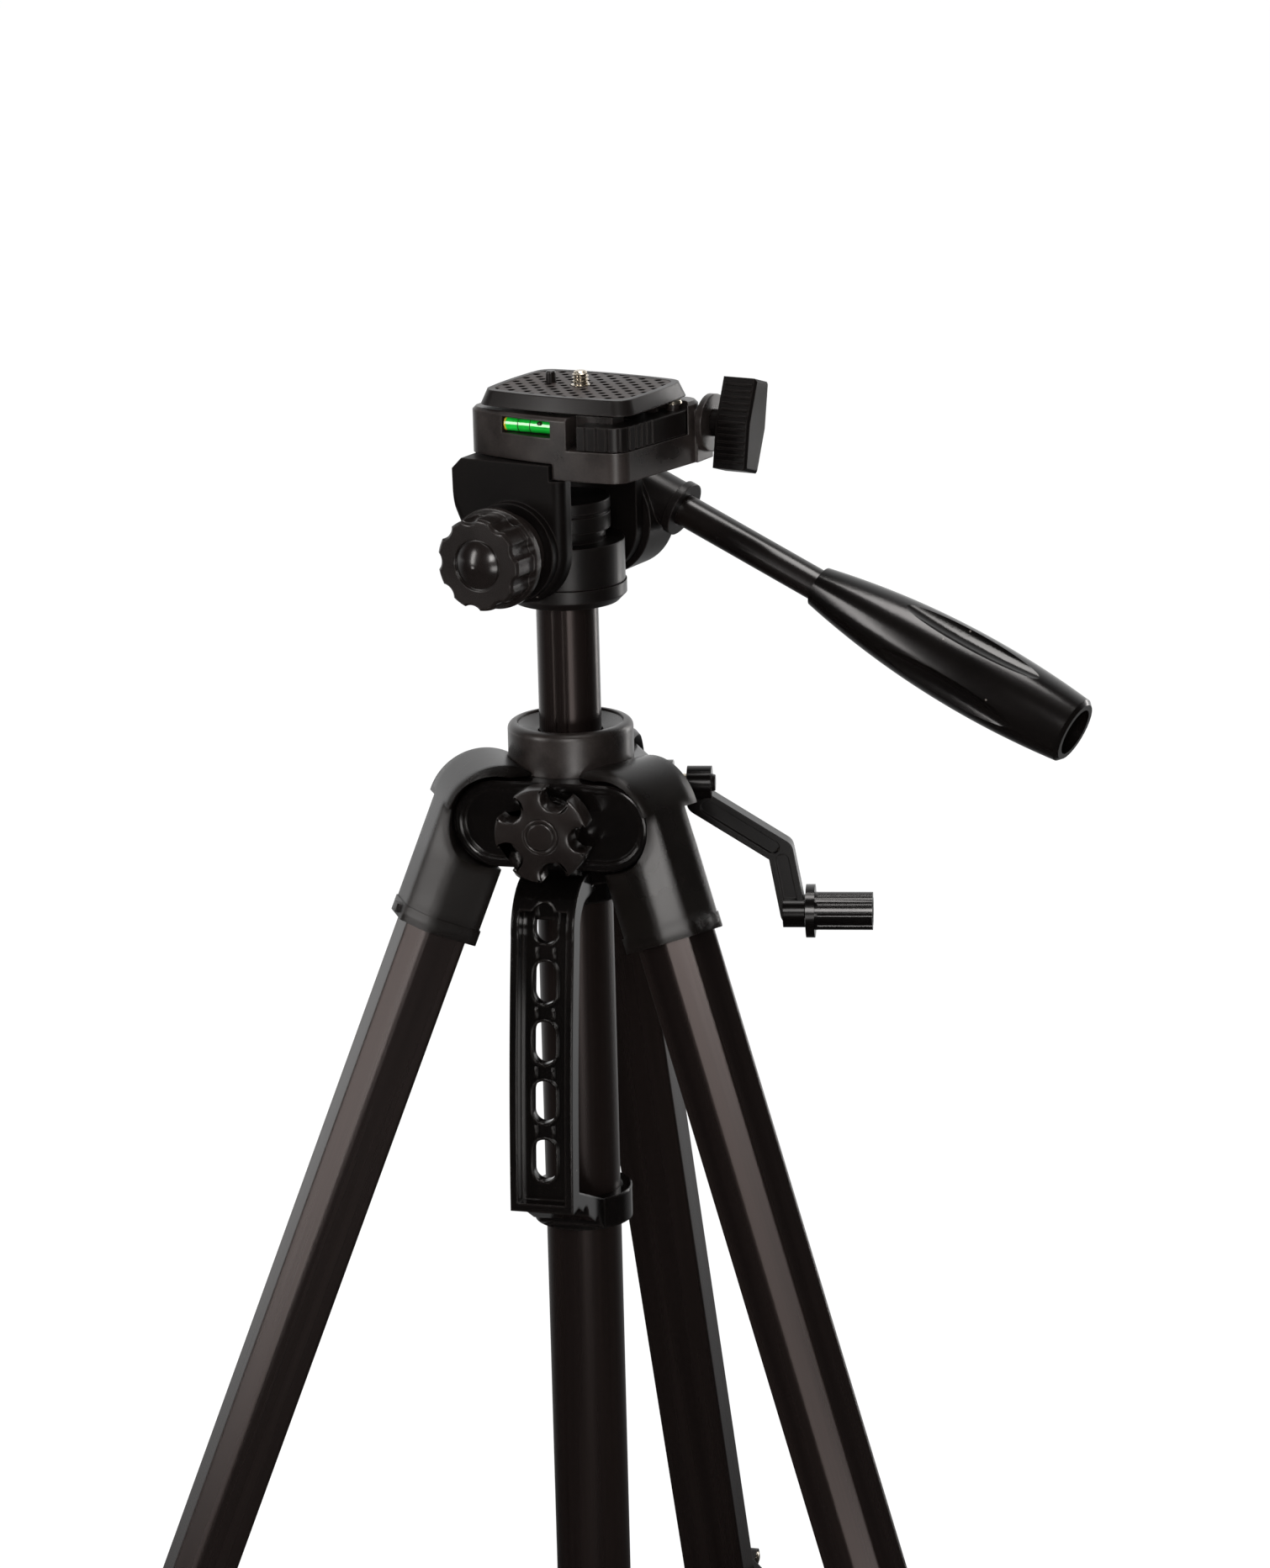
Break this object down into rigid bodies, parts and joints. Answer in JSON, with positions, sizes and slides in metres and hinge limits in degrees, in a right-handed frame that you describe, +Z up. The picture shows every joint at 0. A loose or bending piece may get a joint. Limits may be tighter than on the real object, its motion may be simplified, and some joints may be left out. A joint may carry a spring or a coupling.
{
  "type": "camera tripod",
  "caption": "Folding camera tripod with telescoping legs, sliding leg brace, geared centre column and a three-way pan head with quick-release plate",
  "frame": {"origin": "point on the floor under the axis of the centre column, legs open and pushed in", "axes": "+Z up along the centre column, +Y towards the rear leg, -Y towards the carry handle and the column lock knob"},
  "size_m": [0.4688, 0.4083, 0.7003],
  "materials": {
    "gloss_black": "glossy moulded black",
    "satin_black": "satin moulded black",
    "bronze_tube": "dark bronze anodised",
    "black_steel": "black coated steel",
    "bright_steel": "nickel plated",
    "rubber": "moulded rubber",
    "level_green": "clear vial with green liquid"
  },
  "bodies": {
    "shoulder": {"spider_body": "gloss_black", "leg_pivot_pins": "bright_steel", "column_collar": "gloss_black", "guide_tube": "bronze_tube", "tube_end_cap": "satin_black", "carry_handle": "gloss_black"},
    "column": {"centre_column": "bronze_tube", "column_end_bush": "satin_black", "pan_base": "satin_black"},
    "crank": {"crank_shaft": "bright_steel", "crank_arm": "gloss_black"},
    "crank_handle": {"crank_grip": "satin_black"},
    "column_lock": {"column_lock_knob": "gloss_black"},
    "brace_slider": {"brace_hub": "satin_black", "brace_hub_pins": "bright_steel"},
    "pan": {"pan_housing": "satin_black"},
    "tilt": {"tilt_bracket": "satin_black", "tilt_axle": "bright_steel", "handle_socket": "satin_black"},
    "tilt_lock": {"tilt_knob": "satin_black"},
    "pan_handle": {"handle_rod": "black_steel", "handle_grip": "gloss_black"},
    "camera_platform": {"platform": "satin_black", "level_vial": "level_green"},
    "flip_lock": {"flip_wing_knob": "satin_black"},
    "release_lever": {"qr_lever": "satin_black"},
    "camera_plate": {"qr_plate": "satin_black", "plate_pad": "rubber"},
    "camera_bolt": {"camera_screw": "bright_steel"},
    "register_pin": {"anti_twist_pin": "black_steel"},
    "rear_leg": {"rear_leg_cap": "gloss_black", "rear_leg_upper_tube": "bronze_tube", "rear_leg_upper_clamp": "satin_black"},
    "rear_middle_section": {"rear_leg_middle_tube": "bronze_tube", "rear_leg_middle_clamp": "satin_black"},
    "rear_lower_section": {"rear_leg_lower_tube": "bronze_tube", "rear_leg_foot": "rubber"},
    "rear_upper_catch": {"rear_leg_upper_lever": "satin_black"},
    "rear_middle_catch": {"rear_leg_middle_lever": "satin_black"},
    "rear_brace": {"rear_brace_arm": "black_steel"},
    "left_leg": {"left_leg_cap": "gloss_black", "left_leg_upper_tube": "bronze_tube", "left_leg_upper_clamp": "satin_black"},
    "left_middle_section": {"left_leg_middle_tube": "bronze_tube", "left_leg_middle_clamp": "satin_black"},
    "left_lower_section": {"left_leg_lower_tube": "bronze_tube", "left_leg_foot": "rubber"},
    "left_upper_catch": {"left_leg_upper_lever": "satin_black"},
    "left_middle_catch": {"left_leg_middle_lever": "satin_black"},
    "left_brace": {"left_brace_arm": "black_steel"},
    "right_leg": {"right_leg_cap": "gloss_black", "right_leg_upper_tube": "bronze_tube", "right_leg_upper_clamp": "satin_black"},
    "right_middle_section": {"right_leg_middle_tube": "bronze_tube", "right_leg_middle_clamp": "satin_black"},
    "right_lower_section": {"right_leg_lower_tube": "bronze_tube", "right_leg_foot": "rubber"},
    "right_upper_catch": {"right_leg_upper_lever": "satin_black"},
    "right_middle_catch": {"right_leg_middle_lever": "satin_black"},
    "right_brace": {"right_brace_arm": "black_steel"}
  },
  "joints": [
    {"name": "rear_leg_fold", "type": "hinge", "parent": "shoulder", "child": "rear_leg", "pos_m": [0, 0.032, 0.52893], "axis": [-1, 0, 0], "range_deg": [0, 20]},
    {"name": "rear_middle_slide", "type": "slide", "parent": "rear_leg", "child": "rear_middle_section", "axis": [0, 0.3757, -0.9267], "range_m": [0, 0.33]},
    {"name": "rear_lower_slide", "type": "slide", "parent": "rear_middle_section", "child": "rear_lower_section", "axis": [0, 0.3757, -0.9267], "range_m": [0, 0.33]},
    {"name": "rear_upper_lever_flip", "type": "hinge", "parent": "rear_leg", "child": "rear_upper_catch", "pos_m": [0, 0.2292, 0.11575], "axis": [1, 0, 0], "range_deg": [0, 90]},
    {"name": "rear_middle_lever_flip", "type": "hinge", "parent": "rear_middle_section", "child": "rear_middle_catch", "pos_m": [0, 0.24434, 0.07441], "axis": [1, 0, 0], "range_deg": [0, 90]},
    {"name": "left_leg_fold", "type": "hinge", "parent": "shoulder", "child": "left_leg", "pos_m": [-0.02771, -0.016, 0.52893], "axis": [0.5, -0.866, 0], "range_deg": [0, 20]},
    {"name": "left_middle_slide", "type": "slide", "parent": "left_leg", "child": "left_middle_section", "axis": [-0.3254, -0.1879, -0.9267], "range_m": [0, 0.33]},
    {"name": "left_lower_slide", "type": "slide", "parent": "left_middle_section", "child": "left_lower_section", "axis": [-0.3254, -0.1879, -0.9267], "range_m": [0, 0.33]},
    {"name": "left_upper_lever_flip", "type": "hinge", "parent": "left_leg", "child": "left_upper_catch", "pos_m": [-0.19849, -0.1146, 0.11575], "axis": [-0.5, 0.866, 0], "range_deg": [0, 90]},
    {"name": "left_middle_lever_flip", "type": "hinge", "parent": "left_middle_section", "child": "left_middle_catch", "pos_m": [-0.2116, -0.12217, 0.07441], "axis": [-0.5, 0.866, 0], "range_deg": [0, 90]},
    {"name": "right_leg_fold", "type": "hinge", "parent": "shoulder", "child": "right_leg", "pos_m": [0.02771, -0.016, 0.52893], "axis": [0.5, 0.866, 0], "range_deg": [0, 20]},
    {"name": "right_middle_slide", "type": "slide", "parent": "right_leg", "child": "right_middle_section", "axis": [0.3254, -0.1879, -0.9267], "range_m": [0, 0.33]},
    {"name": "right_lower_slide", "type": "slide", "parent": "right_middle_section", "child": "right_lower_section", "axis": [0.3254, -0.1879, -0.9267], "range_m": [0, 0.33]},
    {"name": "right_upper_lever_flip", "type": "hinge", "parent": "right_leg", "child": "right_upper_catch", "pos_m": [0.19849, -0.1146, 0.11575], "axis": [-0.5, -0.866, 0], "range_deg": [0, 90]},
    {"name": "right_middle_lever_flip", "type": "hinge", "parent": "right_middle_section", "child": "right_middle_catch", "pos_m": [0.2116, -0.12217, 0.07441], "axis": [-0.5, -0.866, 0], "range_deg": [0, 90]},
    {"name": "brace_slide", "type": "slide", "parent": "shoulder", "child": "brace_slider", "axis": [0, 0, 1], "range_m": [0, 0.0576]},
    {"name": "rear_brace_swing", "type": "hinge", "parent": "brace_slider", "child": "rear_brace", "pos_m": [0, 0.026, 0.19093], "axis": [-1, 0, 0], "range_deg": [0, 59.2]},
    {"name": "left_brace_swing", "type": "hinge", "parent": "brace_slider", "child": "left_brace", "pos_m": [-0.02252, -0.013, 0.19093], "axis": [0.5, -0.866, 0], "range_deg": [0, 59.2]},
    {"name": "right_brace_swing", "type": "hinge", "parent": "brace_slider", "child": "right_brace", "pos_m": [0.02252, -0.013, 0.19093], "axis": [0.5, 0.866, 0], "range_deg": [0, 59.2]},
    {"name": "column_slide", "type": "slide", "parent": "shoulder", "child": "column", "axis": [0, 0, 1], "range_m": [-0.045, 0.2]},
    {"name": "crank_turn", "type": "hinge", "parent": "shoulder", "child": "crank", "pos_m": [-0.00267, 0.01514, 0.53363], "axis": [0.9848, 0.1736, 0], "continuous": true},
    {"name": "crank_grip_spin", "type": "hinge", "parent": "crank", "child": "crank_handle", "pos_m": [0.08498, 0.0306, 0.48163], "axis": [0.9848, 0.1736, 0], "continuous": true},
    {"name": "column_lock_turn", "type": "hinge", "parent": "shoulder", "child": "column_lock", "pos_m": [0, -0.046, 0.52893], "axis": [0, -1, 0], "range_deg": [0, 180]},
    {"name": "pan_turn", "type": "hinge", "parent": "column", "child": "pan", "pos_m": [0, 0, 0.61893], "axis": [0, 0, 1], "continuous": true},
    {"name": "tilt_turn", "type": "hinge", "parent": "pan", "child": "tilt", "pos_m": [-0.00338, 0.00089, 0.63613], "axis": [-0.2554, -0.9668, 0], "range_deg": [-30, 85]},
    {"name": "tilt_lock_turn", "type": "hinge", "parent": "tilt", "child": "tilt_lock", "pos_m": [-0.01846, -0.05615, 0.63613], "axis": [-0.2554, -0.9668, 0], "range_deg": [0, 180]},
    {"name": "handle_twist", "type": "hinge", "parent": "tilt", "child": "pan_handle", "pos_m": [0.01362, 0.04191, 0.65012], "axis": [0.8893, -0.235, -0.3923], "range_deg": [-120, 120]},
    {"name": "platform_flip", "type": "hinge", "parent": "tilt", "child": "camera_platform", "pos_m": [0.00715, 0.02707, 0.67833], "axis": [-0.9668, 0.2554, 0], "range_deg": [0, 90]},
    {"name": "flip_lock_turn", "type": "hinge", "parent": "camera_platform", "child": "flip_lock", "pos_m": [0.06033, 0.01302, 0.67833], "axis": [0.9668, -0.2554, 0], "range_deg": [0, 180]},
    {"name": "release_lever_swing", "type": "hinge", "parent": "camera_platform", "child": "release_lever", "pos_m": [0.04301, 0.00229, 0.68533], "axis": [0, 0, 1], "range_deg": [0, 35]},
    {"name": "plate_lift", "type": "slide", "parent": "camera_platform", "child": "camera_plate", "axis": [0.2502, -0.0661, 0.9659], "range_m": [0, 0.012], "stiffness_N_per_m": 20, "springref_m": -0.03},
    {"name": "camera_screw_turn", "type": "hinge", "parent": "camera_plate", "child": "camera_bolt", "pos_m": [0.00831, -0.0022, 0.69483], "axis": [0, 0, 1], "continuous": true},
    {"name": "register_pin_press", "type": "slide", "parent": "camera_plate", "child": "register_pin", "axis": [0, 0, 1], "range_m": [-0.004, 0], "stiffness_N_per_m": 250, "springref_m": 0.0008}
  ],
  "couplings": [
    {"joint": "rear_brace_swing", "follows": "rear_leg_fold", "ratio": 2.9559},
    {"joint": "left_brace_swing", "follows": "rear_leg_fold", "ratio": 2.9559},
    {"joint": "right_brace_swing", "follows": "rear_leg_fold", "ratio": 2.9559},
    {"joint": "brace_slide", "follows": "rear_leg_fold", "m_per_rad": 0.16478},
    {"joint": "left_leg_fold", "follows": "rear_leg_fold", "ratio": 1},
    {"joint": "right_leg_fold", "follows": "rear_leg_fold", "ratio": 1},
    {"joint": "crank_turn", "follows": "column_slide", "rad_per_m": -200},
    {"joint": "release_lever_swing", "follows": "plate_lift", "rad_per_m": 50.9}
  ]
}
